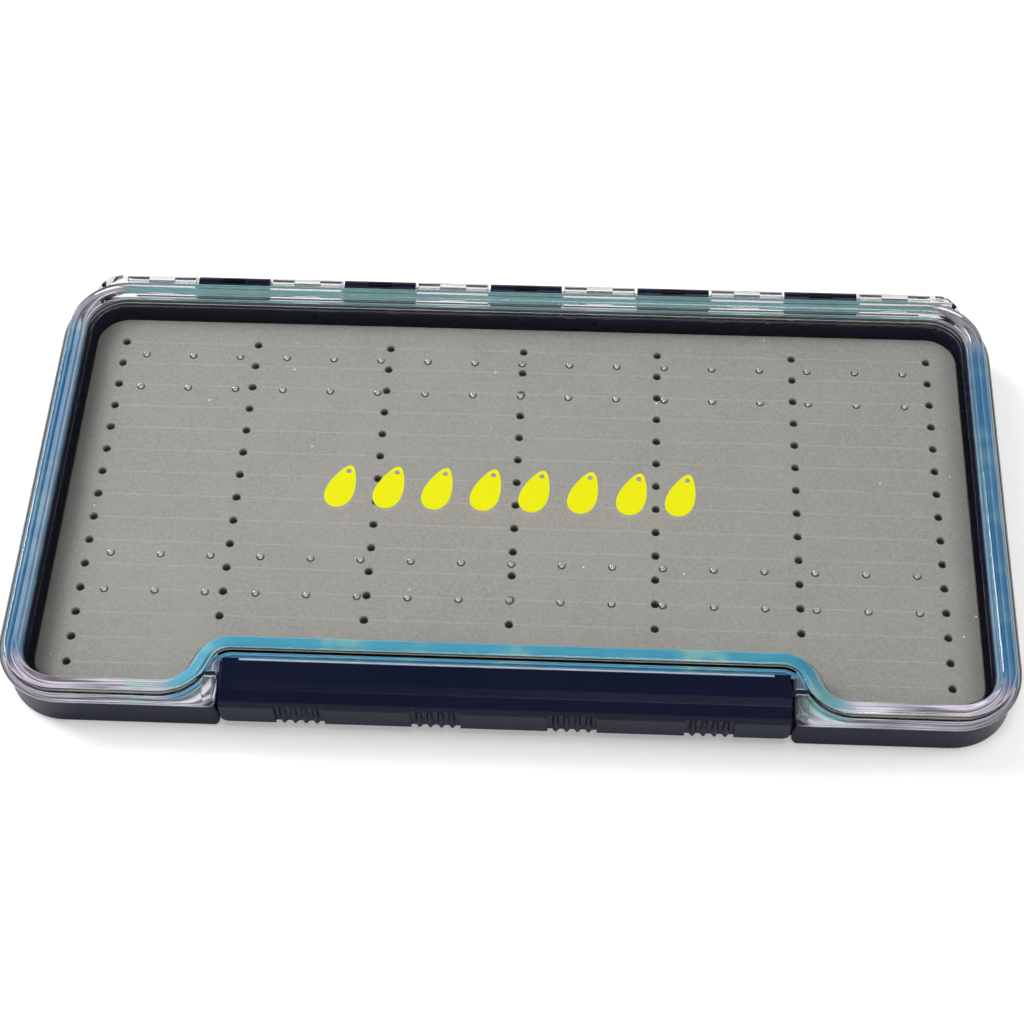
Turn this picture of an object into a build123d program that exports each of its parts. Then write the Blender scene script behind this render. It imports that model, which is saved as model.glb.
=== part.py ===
from build123d import *
import math
import os

# A slim watertight tackle box: a navy tub with slit foam, a clear hinged lid and a wide
# front latch. X runs along the hinge, Y from the latch to the hinge, Z up.
# The origin lies on the underside, in the middle of the foam's pattern of holes.
# All sizes are in millimetres.

# Tub
case_length = 264.4
case_depth = 139.6
corner_radius = 18.0
tub_height = 11.0
tub_inset = 0.6
tub_draft = 0.7
floor_thickness = 1.5
tub_edge_radius = 0.7
wall_skin = 1.5
channel_width = 1.4

# Lid
lid_gap = 0.1
flange_height = 0.9
lid_height = 5.0
bead_width = 4.0
bead_side_margin = 2.1
bead_front_margin = 1.4
bead_rear_margin = 0.5
bead_corner_radius = 11.2
bead_outer_edge = 0.6
bead_inner_edge = 1.2
panel_thickness = 1.4
panel_lift = 0.5

# Notch in the front, where the latch sits
notch_half_length = 74.0
notch_bend_gap = 3.4
notch_flare = 4.7
notch_run_depth = 13.9
notch_outer_radius = 9.0
notch_inner_radius = 9.4
notch_flange_width = 1.4
notch_corner_radius = 1.4
notch_play = 0.3

# Silicone seal in the groove under the lid's raised rim
seal_width = 4.2
seal_height = 0.8
seal_inboard = 0.6
seal_clearance = 0.05
groove_rib = 1.0

# Foam sheet and the glue film under it
foam_side_gap = 1.7
foam_thickness = 4.3
glue_thickness = 0.2
glue_inset = 2.0
cavity_inset = 0.6
hole_columns = 7
hole_rows = 15
column_pitch = 38.4
row_pitch = 7.78
hole_diameter = 2.4
hole_depth = 3.8
slit_width = 0.3
slit_depth = 3.0
ear_slit_margin = 6.0

# Small domes under the lid's panel
nub_count = 17
nub_pitch = 13.4
nub_radius = 1.2
nub_drop = 0.75
nub_pair_spacing = 11.7
nub_rear_row = 45.2
nub_front_row = -23.6

# Hinge
hinge_offset = 3.1
hinge_radius = 2.5
knuckle_pitch = 21.3
knuckle_gap = 0.6
tub_knuckles = 5
end_knuckle_length = 19.0
window_lip = 0.2
rod_diameter = 2.0
rod_reach = 17.5
rod_chamfer = 0.3
rod_clearance = 0.05

# Latch
latch_end_gap = 1.2
latch_skin = 1.6
latch_rear_setback = 11.9
latch_crease_setback = 5.8
latch_slope_setback = 3.5
latch_nose_setback = 0.6
latch_top_height = 15.1
latch_slope_height = 14.85
latch_nose_height = 13.2
latch_brow_height = 11.6
latch_bottom_height = 3.3
latch_draft = 0.9
latch_proud = 0.1
latch_corner_radius = 2.0
heel_length = 4.2
heel_reach = 0.8
nose_radius = 0.8
brow_radius = 1.2
web_play = 0.6
web_heel = 1.7
pivot_setback = 8.5
pivot_height = 12.9
pivot_diameter = 2.0
pivot_clearance = 0.05
pivot_wall = 3.0
pivot_wall_cover = 1.1

# Front of the tub behind the latch
ledge_setback = 3.9
platform_height = 8.5
catch_reach = 1.1
catch_height = 1.5
catch_drop = 2.0
catch_half_length = 62.0
catch_play = 0.1
platform_cells = 6
ear_edge_radius = 1.5
hook_height = 1.2
hook_play = 0.35

# Finger grips along the latch's lower edge
grip_pitch = 34.95
grip_count = 4
grip_length = 12.6
grip_depth = 0.8
grip_height = 8.9
grip_ribs = 4
grip_rib_pitch = 2.8
grip_rib_width = 1.8
grip_rib_proud = 0.2

# Distance within which two places count as the same when edges are picked
near = 0.1

# Heights and lines that follow from the sizes above
lid_bottom = tub_height + lid_gap
lid_top = lid_bottom + lid_height - lid_gap
panel_bottom = lid_bottom + panel_lift
panel_top = panel_bottom + panel_thickness
rim_half_length = case_length / 2 - bead_side_margin - bead_width
rim_front = case_depth / 2 - bead_front_margin - bead_width
rim_rear = case_depth / 2 - bead_rear_margin - bead_width
front_y = -case_depth / 2
wall_inset = tub_inset + tub_draft + wall_skin
notch_y = -(rim_front - notch_run_depth)
notch_rear_half = notch_half_length + notch_bend_gap
notch_front_half = notch_rear_half + notch_flare
notch_slope = notch_flare / notch_run_depth
recess_y = notch_y - bead_width - notch_flange_width
foam_bottom = floor_thickness + glue_thickness
foam_top = foam_bottom + foam_thickness
hinge_y = case_depth / 2 + hinge_offset
hinge_z = tub_height
latch_half_length = notch_half_length - latch_end_gap
pivot_y = front_y + pivot_setback
ledge_y = front_y + ledge_setback


def rim_region(grow):
    """Plan of the box inside the raised rim's inner edge, grown outwards by a width.

    The front edge steps back behind the latch, along a slanted S on each side.
    """
    shift = grow * math.hypot(1, notch_slope)
    far = rim_half_length + grow
    front = -rim_front - grow
    rear = rim_rear + grow
    inner = notch_y - grow
    ear = notch_rear_half + (notch_y - front) * notch_slope - shift
    bay = notch_rear_half + grow * notch_slope - shift
    corners = [(far, rear), (-far, rear), (-far, front), (-ear, front)]
    corners += [(-bay, inner), (bay, inner), (ear, front), (far, front)]
    with BuildSketch() as region:
        with BuildLine():
            Polyline(*corners, close=True)
        make_face()
        points = region.vertices()
        fillet(points.filter_by(lambda v: abs(v.X) > far - near), bead_corner_radius + grow)
        points = region.vertices()
        fillet(
            points.filter_by(lambda v: abs(abs(v.X) - ear) < near and v.Y < inner),
            notch_outer_radius + grow,
        )
        points = region.vertices()
        fillet(
            points.filter_by(lambda v: abs(abs(v.X) - bay) < near and abs(v.Y - inner) < near),
            notch_inner_radius - grow,
        )
    return region.sketch


def case_outline(inset, bay_half, bay_y, bay_radius):
    """Plan of the box's outside, set in by a width, with a square bay cut in its front."""
    with BuildSketch() as outline:
        RectangleRounded(case_length - 2 * inset, case_depth - 2 * inset, corner_radius - inset)
        with Locations((0, bay_y)):
            Rectangle(2 * bay_half, case_depth, align=(Align.CENTER, Align.MAX), mode=Mode.SUBTRACT)
        mouth = outline.vertices().filter_by(
            lambda v: abs(abs(v.X) - bay_half) < near and v.Y < bay_y - near
        )
        fillet(mouth, bay_radius)
    return outline.sketch


def knuckle_section(arm_start, arm_bottom, arm_top):
    """Side profile of a hinge knuckle and the arm that joins it to its wall.

    It is drawn flat, for a sketch on a plane square to the hinge.
    """
    with BuildSketch() as section:
        with Locations((hinge_y, hinge_z)):
            Circle(hinge_radius)
        with Locations((hinge_y, arm_bottom)):
            Rectangle(hinge_y - arm_start, arm_top - arm_bottom, align=(Align.MAX, Align.MIN))
    return section.sketch


channel_front = notch_y - (wall_skin - cavity_inset) - channel_width
rim_inside = rim_region(0)
rim_outside = rim_region(bead_width)
cavity_plan = rim_region(-cavity_inset)
seal_plan = rim_region(seal_width - seal_inboard)
seal_hole_plan = rim_region(-seal_inboard)
groove_plan = rim_region(seal_width - seal_inboard + seal_clearance)
groove_hole_plan = rim_region(-seal_inboard - seal_clearance)
lid_hollow_plan = rim_region(-seal_inboard - seal_clearance - groove_rib)
foam_plan = rim_region(-cavity_inset - foam_side_gap)
glue_plan = rim_region(-cavity_inset - foam_side_gap - glue_inset)
channel_plan = case_outline(
    wall_inset, notch_half_length - notch_play + wall_skin, channel_front, notch_corner_radius
)
channel_hole_plan = rim_region(wall_skin - cavity_inset)

knuckle_length = knuckle_pitch - knuckle_gap
knuckle_back = hinge_y + hinge_radius
lid_arm_start = case_depth / 2 - bead_rear_margin - seal_clearance
bore_diameter = rod_diameter + 2 * rod_clearance
end_knuckle_start = tub_knuckles * knuckle_pitch - knuckle_length / 2
rod_half_length = end_knuckle_start + rod_reach
window_length = knuckle_length / 3
window_width = rod_diameter - 2 * window_lip
pivot_wall_top = pivot_height + pivot_diameter / 2 + pivot_clearance + pivot_wall_cover

top_rear = (front_y + latch_rear_setback, latch_top_height)
top_crease = (front_y + latch_crease_setback, latch_top_height)
slope_crease = (front_y + latch_slope_setback, latch_slope_height)
nose = (front_y + latch_nose_setback, latch_nose_height)
brow = (front_y - latch_proud, latch_brow_height)
toe = (brow[0] + latch_draft, latch_bottom_height)
ledge_top = platform_height - catch_drop
hook_tip = ledge_y - catch_reach - catch_play
hook_root = toe[0] + latch_skin
hook_top = ledge_top - catch_height - hook_play
pin_length = latch_end_gap + pivot_wall - pivot_clearance
grip_centres = [(group - (grip_count - 1) / 2) * grip_pitch for group in range(grip_count)]
rib_flank = math.hypot(grip_rib_width / 2, grip_depth + grip_rib_proud)

row_lines = [(row - (hole_rows - 1) / 2) * row_pitch for row in range(hole_rows)]
column_lines = [(column - (hole_columns - 1) / 2) * column_pitch for column in range(hole_columns)]
outer_column = column_lines[-1]
notch_rows_end = notch_y + row_pitch / 2
ear_slit_length = outer_column - notch_front_half - ear_slit_margin
nub_places = [
    ((index - (nub_count - 1) / 2) * nub_pitch, row_y)
    for row_y in (
        nub_rear_row, nub_rear_row - nub_pair_spacing,
        nub_front_row, nub_front_row - nub_pair_spacing,
    )
    for index in range(nub_count)
]

# Tub
with BuildPart() as tub:
    for level, inset in ((0, tub_inset + tub_draft), (tub_height, tub_inset)):
        with BuildSketch(Plane.XY.offset(level)):
            RectangleRounded(
                case_length - 2 * inset, case_depth - 2 * inset, corner_radius - inset
            )
    loft()
    fillet(tub.faces().sort_by(Axis.Z)[0].edges(), tub_edge_radius)
    # Space for the foam and the lures
    with BuildSketch(Plane.XY.offset(floor_thickness)):
        add(cavity_plan)
    extrude(amount=tub_height, mode=Mode.SUBTRACT)
    # Bay for the latch: shallow below, deep above the platform
    with BuildSketch():
        with Locations((0, ledge_y)):
            Rectangle(
                2 * (notch_half_length - notch_play), case_depth,
                align=(Align.CENTER, Align.MAX),
            )
    extrude(amount=tub_height, mode=Mode.SUBTRACT)
    with BuildSketch(Plane.XY.offset(platform_height)):
        with Locations((0, recess_y)):
            Rectangle(
                2 * (notch_half_length - notch_play), case_depth,
                align=(Align.CENTER, Align.MAX),
            )
    extrude(amount=tub_height, mode=Mode.SUBTRACT)
    # Open channel under the rim, between the inner and the outer wall
    with BuildSketch():
        add(channel_plan)
        add(channel_hole_plan, mode=Mode.SUBTRACT)
    extrude(amount=platform_height - wall_skin, mode=Mode.SUBTRACT)
    # Ledge that the latch's hook snaps under
    with BuildSketch(Plane.YZ):
        with BuildLine():
            Polyline(
                (ledge_y + wall_skin / 2, ledge_top),
                (ledge_y, ledge_top),
                (ledge_y - catch_reach, ledge_top - catch_height / 2),
                (ledge_y - catch_reach, ledge_top - catch_height),
                (ledge_y + wall_skin / 2, ledge_top - catch_height),
                close=True,
            )
        make_face()
    extrude(amount=catch_half_length, both=True)
    # Cells under the platform, open below, so that the moulding has even walls
    cells_front = ledge_y + wall_skin
    cells_rear = channel_front - wall_skin
    cell_pitch = 2 * (notch_half_length - notch_play - wall_skin) / platform_cells
    with BuildSketch():
        with Locations((0, (cells_front + cells_rear) / 2)):
            with GridLocations(cell_pitch, 1, platform_cells, 1):
                Rectangle(cell_pitch - wall_skin, cells_rear - cells_front)
    extrude(amount=platform_height - wall_skin, mode=Mode.SUBTRACT)
    # Rounded lower corners beside the latch
    ear_corners = tub.edges().filter_by(Axis.Y).filter_by(
        lambda e: abs(e.center().Z) < near and e.center().Y < ledge_y
    )
    fillet(ear_corners, ear_edge_radius)
    # Hinge knuckles on short arms, each with a window over the rod in its middle
    tub_knuckle = knuckle_section(
        case_depth / 2 - wall_inset, hinge_z - hinge_radius, hinge_z - lid_gap
    )
    for index in range(-tub_knuckles + 1, tub_knuckles, 2):
        with BuildSketch(Plane.YZ.offset(index * knuckle_pitch - knuckle_length / 2)):
            add(tub_knuckle)
        extrude(amount=knuckle_length)
        with BuildSketch(Plane.XY.offset(hinge_z)):
            with Locations((index * knuckle_pitch, hinge_y)):
                Rectangle(window_length, window_width)
        extrude(amount=hinge_radius, mode=Mode.SUBTRACT)
    with BuildSketch(Plane.YZ):
        with Locations((hinge_y, hinge_z)):
            Circle(bore_diameter / 2)
    extrude(amount=end_knuckle_start, both=True, mode=Mode.SUBTRACT)
tub.part.label = "tub"

# Glue film and foam sheet
with BuildPart() as foam_glue:
    with BuildSketch(Plane.XY.offset(floor_thickness)):
        add(glue_plan)
    extrude(amount=glue_thickness)
foam_glue.part.label = "foam_glue"

with BuildPart() as foam_sheet:
    with BuildSketch(Plane.XY.offset(foam_bottom)):
        add(foam_plan)
    extrude(amount=foam_thickness)
    # Slits along the rows, then the holes at which a hook goes in
    with BuildSketch(Plane.XY.offset(foam_top)):
        with Locations(*[(0, row_y) for row_y in row_lines if row_y > notch_rows_end]):
            Rectangle(2 * outer_column, slit_width)
        with Locations(*[
            (side * (outer_column - ear_slit_length / 2), row_y)
            for side in (-1, 1)
            for row_y in row_lines
            if row_y < notch_rows_end
        ]):
            Rectangle(ear_slit_length, slit_width)
    extrude(amount=-slit_depth, mode=Mode.SUBTRACT)
    with BuildSketch(Plane.XY.offset(foam_top)):
        with Locations(*[
            (column_x, row_y)
            for column_x in column_lines
            for row_y in row_lines
            if row_y > notch_rows_end or abs(column_x) > outer_column - 1
        ]):
            Circle(hole_diameter / 2)
    extrude(amount=-hole_depth, mode=Mode.SUBTRACT)
foam_sheet.part.label = "foam_sheet"

# Right end knuckle of the lid, rounded off into the corner of the rim
end_knuckle_radius = knuckle_back - rim_rear
with BuildPart() as end_knuckle:
    with BuildSketch(Plane.YZ.offset(end_knuckle_start)):
        add(knuckle_section(rim_rear, lid_bottom, hinge_z + hinge_radius))
    extrude(amount=end_knuckle_length + end_knuckle_radius)
    with BuildSketch(Plane.XY.offset(hinge_z - hinge_radius)):
        with BuildLine():
            start = (end_knuckle_start, knuckle_back)
            bend = (end_knuckle_start + end_knuckle_length, knuckle_back)
            tip = (bend[0] + end_knuckle_radius, rim_rear)
            Line(start, bend)
            TangentArc(bend, tip, tangent=(1, 0))
            Polyline(tip, (start[0], rim_rear), start)
        make_face()
    extrude(amount=2 * hinge_radius, mode=Mode.INTERSECT)

# Lid
with BuildPart() as lid:
    with BuildSketch(Plane.XY.offset(lid_bottom)):
        add(case_outline(0, notch_half_length, recess_y, notch_corner_radius))
    extrude(amount=flange_height)
    # Walls beside the latch, which hold its pivot pins
    wall_front = front_y + notch_corner_radius
    with BuildSketch(Plane.XY.offset(lid_bottom)):
        for side in (-1, 1):
            with Locations((side * notch_half_length, wall_front)):
                Rectangle(
                    pivot_wall, recess_y - wall_front,
                    align=(Align.MIN if side > 0 else Align.MAX, Align.MIN),
                )
    extrude(amount=pivot_wall_top - lid_bottom)
    # Raised rim and the panel inside it
    with BuildSketch(Plane.XY.offset(lid_bottom)):
        add(rim_outside)
    extrude(amount=lid_top - lid_bottom)
    fillet(lid.faces().sort_by(Axis.Z)[-1].outer_wire().edges(), bead_outer_edge)
    with BuildSketch(Plane.XY.offset(panel_top)):
        add(rim_inside)
    extrude(amount=lid_top, mode=Mode.SUBTRACT)
    fillet(lid.faces().sort_by(Axis.Z)[-1].inner_wires()[0].edges(), bead_inner_edge)
    with BuildSketch(Plane.XY.offset(lid_bottom)):
        add(lid_hollow_plan)
    extrude(amount=panel_lift, mode=Mode.SUBTRACT)
    # Pin holes
    with BuildSketch(Plane.YZ):
        with Locations((pivot_y, pivot_height)):
            Circle(pivot_diameter / 2 + pivot_clearance)
    extrude(amount=notch_half_length + pivot_wall, both=True, mode=Mode.SUBTRACT)
    # Domes under the panel
    nub_centre = panel_bottom + nub_radius - nub_drop
    with Locations(*[(nub_x, nub_y, nub_centre) for nub_x, nub_y in nub_places]):
        Sphere(nub_radius)
    # Hinge knuckles, each with a window over the rod near both ends
    lid_knuckle = knuckle_section(lid_arm_start, lid_bottom, hinge_z + hinge_radius)
    for index in range(-tub_knuckles + 2, tub_knuckles - 1, 2):
        with BuildSketch(Plane.YZ.offset(index * knuckle_pitch - knuckle_length / 2)):
            add(lid_knuckle)
        extrude(amount=knuckle_length)
    add(end_knuckle.part)
    mirror(end_knuckle.part, about=Plane.YZ)
    with BuildSketch(Plane.XY.offset(hinge_z)):
        for index in range(-tub_knuckles, tub_knuckles + 1, 2):
            for side in (-1, 1):
                with Locations((index * knuckle_pitch + side * window_length, hinge_y)):
                    Rectangle(window_length - knuckle_gap, window_width)
    extrude(amount=hinge_radius, mode=Mode.SUBTRACT)
    # Bore for the rod, closed at the left end and open at the right one
    with BuildSketch(Plane.YZ.offset(-rod_half_length - rod_clearance)):
        with Locations((hinge_y, hinge_z)):
            Circle(bore_diameter / 2)
    extrude(amount=case_length, mode=Mode.SUBTRACT)
    # Groove for the seal, under the rim
    with BuildSketch(Plane.XY.offset(lid_bottom)):
        add(groove_plan)
        add(groove_hole_plan, mode=Mode.SUBTRACT)
    extrude(amount=seal_height, mode=Mode.SUBTRACT)
lid.part.label = "lid"

# Silicone seal
with BuildPart() as lid_seal:
    with BuildSketch(Plane.XY.offset(lid_bottom)):
        add(seal_plan)
        add(seal_hole_plan, mode=Mode.SUBTRACT)
    extrude(amount=seal_height)
lid_seal.part.label = "lid_seal"

# Steel hinge rod
with BuildPart() as hinge_rod:
    with BuildSketch(Plane.YZ):
        with Locations((hinge_y, hinge_z)):
            Circle(rod_diameter / 2)
    extrude(amount=rod_half_length, both=True)
    chamfer(hinge_rod.edges(), rod_chamfer)
hinge_rod.part.label = "hinge_rod"

# Latch: a bent cover with closed ends, pivot pins, a snap hook and finger grips
with BuildPart() as latch:
    with BuildSketch(Plane.YZ):
        with BuildLine():
            cover = Polyline(top_rear, top_crease, slope_crease, nose, brow, toe)
            offset(cover, amount=latch_skin, side=Side.LEFT, kind=Kind.INTERSECTION)
        make_face()
    extrude(amount=latch_half_length, both=True)
    # Closed ends, kept clear of the tub's platform and front wall
    for side in (-1, 1):
        with BuildSketch(Plane.YZ.offset(side * latch_half_length)):
            with BuildLine():
                Polyline(
                    top_rear, top_crease, slope_crease, nose, brow, toe,
                    (toe[0] + latch_skin, toe[1]),
                    (ledge_y - web_play, platform_height + web_play),
                    (pivot_y + web_heel, pivot_height - web_heel),
                    (top_rear[0], top_rear[1] - latch_skin),
                    close=True,
                )
            make_face()
        extrude(amount=-side * latch_skin)
        # Short heel behind the cover at its end
        with BuildSketch(Plane.YZ.offset(side * latch_half_length)):
            with Locations((top_rear[0] + heel_reach, latch_top_height)):
                Rectangle(2 * heel_reach, latch_skin, align=(Align.MAX, Align.MAX))
        extrude(amount=-side * heel_length)
    # Hook inside the front wall, just below the tub's ledge
    with BuildSketch(Plane.YZ):
        with BuildLine():
            Polyline(
                (hook_tip, hook_top),
                (hook_tip, hook_top - hook_height / 2),
                (hook_root, hook_top - hook_height),
                (hook_root - latch_skin / 2, hook_top - hook_height),
                (hook_root - latch_skin / 2, hook_top),
                close=True,
            )
        make_face()
    extrude(amount=catch_half_length, both=True)
    # Soft edges along the cover
    long_edges = latch.edges().filter_by(Axis.X).filter_by(
        lambda e: e.length > 2 * catch_half_length + 1
    )
    fillet(
        long_edges.filter_by(lambda e: math.dist((e.center().Y, e.center().Z), nose) < near),
        nose_radius,
    )
    long_edges = latch.edges().filter_by(Axis.X).filter_by(
        lambda e: e.length > 2 * catch_half_length + 1
    )
    fillet(
        long_edges.filter_by(lambda e: math.dist((e.center().Y, e.center().Z), brow) < near),
        brow_radius,
    )
    # Finger grips: shallow pockets with pointed ribs, open at the lower edge
    grip_plane = Plane(origin=(0, *toe), x_dir=(1, 0, 0), z_dir=(0, brow[0] - toe[0], brow[1] - toe[1]))
    with BuildSketch(grip_plane.offset(-grip_depth)):
        with Locations(*[(centre, grip_depth) for centre in grip_centres]):
            Rectangle(grip_length, 2 * grip_depth, align=(Align.CENTER, Align.MAX))
        with Locations(*[
            (centre + (rib - (grip_ribs - 1) / 2) * grip_rib_pitch, grip_depth)
            for centre in grip_centres
            for rib in range(grip_ribs)
        ]):
            Triangle(
                a=grip_rib_width, b=rib_flank, c=rib_flank,
                align=(Align.CENTER, Align.MIN), rotation=180, mode=Mode.SUBTRACT,
            )
    extrude(amount=grip_height + grip_depth, mode=Mode.SUBTRACT)
    # Rounded lower corners, seen from the front
    with BuildSketch(Plane.XZ.offset(-brow[0] + latch_skin)) as latch_front:
        with Locations((0, latch_bottom_height)):
            Rectangle(
                2 * latch_half_length, latch_top_height,
                align=(Align.CENTER, Align.MIN),
            )
        fillet(latch_front.vertices().group_by(Axis.Z)[0], latch_corner_radius)
    extrude(amount=-case_depth, mode=Mode.INTERSECT)
    # Pivot pins
    for side in (-1, 1):
        with BuildSketch(Plane.YZ.offset(side * latch_half_length)):
            with Locations((pivot_y, pivot_height)):
                Circle(pivot_diameter / 2)
        extrude(amount=side * pin_length)
latch.part.label = "latch"

os.makedirs("parts", exist_ok=True)
export_step(tub.part, "parts/tub.step")
export_step(foam_glue.part, "parts/foam_glue.step")
export_step(foam_sheet.part, "parts/foam_sheet.step")
export_step(lid.part, "parts/lid.step")
export_step(lid_seal.part, "parts/lid_seal.step")
export_step(hinge_rod.part, "parts/hinge_rod.step")
export_step(latch.part, "parts/latch.step")
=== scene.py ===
# %% [markdown]
# A slim box for spoon lures, photographed from above on a white table. The hard pieces, the tub,
# the clear lid, the latch and the hinge rod, come ready from the frame, and they keep their
# shapes. This lesson gives them their finish and models what the frame only blocks out: the
# sheet of slit foam, the rubber seal that shines through the rim, and a print on the lid.

# %% Load the frame
import math

import bmesh
import bpy
from mathutils import Matrix, Vector


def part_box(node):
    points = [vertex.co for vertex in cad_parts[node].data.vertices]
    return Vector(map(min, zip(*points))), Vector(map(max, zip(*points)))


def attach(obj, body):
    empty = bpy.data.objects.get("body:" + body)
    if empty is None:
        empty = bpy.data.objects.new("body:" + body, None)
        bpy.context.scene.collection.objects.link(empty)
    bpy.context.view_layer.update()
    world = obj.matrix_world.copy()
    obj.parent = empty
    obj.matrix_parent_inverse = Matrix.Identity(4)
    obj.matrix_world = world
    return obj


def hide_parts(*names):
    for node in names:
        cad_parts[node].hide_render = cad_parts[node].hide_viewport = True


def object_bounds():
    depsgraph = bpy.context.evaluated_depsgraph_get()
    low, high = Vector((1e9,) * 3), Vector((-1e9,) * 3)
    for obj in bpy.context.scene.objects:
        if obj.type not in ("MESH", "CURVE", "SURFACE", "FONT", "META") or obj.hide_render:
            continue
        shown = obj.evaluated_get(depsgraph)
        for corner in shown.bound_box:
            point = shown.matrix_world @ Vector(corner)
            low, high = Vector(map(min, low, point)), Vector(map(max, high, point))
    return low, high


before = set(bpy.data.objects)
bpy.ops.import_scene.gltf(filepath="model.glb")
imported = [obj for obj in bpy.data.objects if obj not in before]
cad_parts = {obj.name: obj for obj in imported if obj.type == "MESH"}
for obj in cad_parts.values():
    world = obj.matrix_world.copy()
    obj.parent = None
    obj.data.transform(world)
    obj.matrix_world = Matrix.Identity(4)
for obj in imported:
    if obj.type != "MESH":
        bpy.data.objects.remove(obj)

cad_low, cad_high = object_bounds()
print("CAD box", [round(1000 * side, 1) for side in cad_high - cad_low], "mm")

# %% [markdown]
# The camera comes first, because every later choice is judged through it. Its place was worked
# out from the even lattice of holes in the foam: the lens is a short telephoto, 60 centimetres
# away and 54 degrees above the table. `to_track_quat` aims it and a small turn about its own
# axis adds the tilt of the picture.

# %% Camera
MM = 0.001
CAMERA_PLACE = Vector((21.2, -357.0, 498.9)) * MM
CAMERA_AIM = Vector((-0.87, -2.3, 6.5)) * MM
CAMERA_ROLL = math.radians(-1.228)
CAMERA_LENS = 78.12


def linked(name, data):
    """A new object in the scene that holds this data."""
    obj = bpy.data.objects.new(name, data)
    bpy.context.collection.objects.link(obj)
    return obj


camera = linked("camera", bpy.data.cameras.new("camera"))
camera.data.lens = CAMERA_LENS
camera.location = CAMERA_PLACE
aim = (CAMERA_AIM - CAMERA_PLACE).to_track_quat("-Z", "Y").to_matrix().to_4x4()
camera.matrix_world = Matrix.Translation(CAMERA_PLACE) @ aim @ Matrix.Rotation(CAMERA_ROLL, 4, "Z")
bpy.context.scene.camera = camera
bpy.context.scene.view_settings.view_transform = "Standard"
print("camera", round((CAMERA_AIM - CAMERA_PLACE).length, 3), "m from what it looks at")

# %% [markdown]
# Materials are node trees, and wiring them by hand is wordy. These helpers keep each material
# short: `new_material` starts a tree with its Principled shader, `node` adds a node and sets its
# inputs, and an input given as a socket is linked instead of set.

# %% Node helpers


def node(tree, kind, settings=None, **inputs):
    """A node of this kind; settings are its own options, inputs are values or sockets to link."""
    made = tree.nodes.new(kind)
    for key, value in (settings or {}).items():
        setattr(made, key, value)
    for key, value in inputs.items():
        socket = made.inputs[int(key[1:])] if key[1:].isdigit() else made.inputs[key.replace("_", " ")]
        if isinstance(value, bpy.types.NodeSocket):
            tree.links.new(value, socket)
        else:
            socket.default_value = value
    return made


def maths(tree, operation, first, second=0.0):
    """The result of a sum, a product or another operation on two values or sockets."""
    made = node(tree, "ShaderNodeMath", {"operation": operation}, i0=first, i1=second)
    return made.outputs["Value"]


def between(tree, value, low, high):
    """0 below low, 1 above high and a smooth rise between them; low may be the larger one."""
    made = node(
        tree, "ShaderNodeMapRange", {"interpolation_type": "SMOOTHSTEP"},
        Value=value, From_Min=low, From_Max=high,
    )
    return made.outputs["Result"]


def blend(tree, share, first, second):
    """One colour where share is 0 and the other where it is 1."""
    made = node(tree, "ShaderNodeMix", {"data_type": "RGBA"}, i0=share, i6=first, i7=second)
    return made.outputs[2]


def new_material(name, **inputs):
    """A material with a Principled shader; returns it, its tree and the shader."""
    material = bpy.data.materials.new(name)
    material.use_nodes = True
    tree = material.node_tree
    shader = tree.nodes["Principled BSDF"]
    for key, value in inputs.items():
        shader.inputs[key.replace("_", " ").title().replace("Ior", "IOR")].default_value = value
    return material, tree, shader


def wire(tree, shader, **links):
    """Links sockets to inputs of the shader."""
    for key, socket in links.items():
        tree.links.new(socket, shader.inputs[key.replace("_", " ").title()])


def dress(obj, material):
    """Gives a piece this one material."""
    obj.data.materials.clear()
    obj.data.materials.append(material)


print("node helpers are ready")

# %% [markdown]
# The studio is a white table under a dark ceiling. Light comes from large soft lamps: the main
# one stands at the left and the rear, low enough for the raised rim to shade a strip of the foam.
# Flat faces mirror the dark ceiling and stay deep, while rounded edges catch a lamp somewhere and
# flash white. A plain even sky would lay a grey veil on everything that is glossy. The lamps
# can't be seen through the clear lid, so their light isn't counted twice there.

# %% Floor, sky and lamps
FLOOR_SIZE = 6.0
FLOOR_LEVEL = -0.05 * MM
LAMPS = {
    "lamp_main": ((-1.35, 0.75, 1.05), (0.9, 0.7), 32.0),
    "lamp_over": ((0.2, -0.1, 1.9), (1.0, 0.7), 12.0),
    "lamp_front": ((0.1, -1.5, 1.0), (1.6, 0.6), 5.0),
    "lamp_right": ((1.5, 0.1, 0.9), (1.0, 0.8), 6.0),
}
TABLE_LIFT = 0.22
HORIZON_FADE = (0.25, 0.6)
CEILING_LIGHT = 0.05


def make_floor():
    """A wide pale table. It is lifted to white where it is seen, but keeps the shadow on it."""
    bm = bmesh.new()
    bmesh.ops.create_grid(bm, x_segments=1, y_segments=1, size=FLOOR_SIZE / 2)
    bmesh.ops.translate(bm, vec=(0, 0, FLOOR_LEVEL), verts=bm.verts)
    floor = linked("floor", bpy.data.meshes.new("floor"))
    bm.to_mesh(floor.data)
    bm.free()
    material, tree, shader = new_material(
        "table_white", base_color=(0.94, 0.94, 0.94, 1), roughness=1.0, specular_ior_level=0.0,
        emission_color=(1, 1, 1, 1),
    )
    rays = node(tree, "ShaderNodeLightPath")
    lift = maths(tree, "MULTIPLY", rays.outputs["Is Camera Ray"], TABLE_LIFT)
    wire(tree, shader, emission_strength=lift)
    dress(floor, material)


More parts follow.
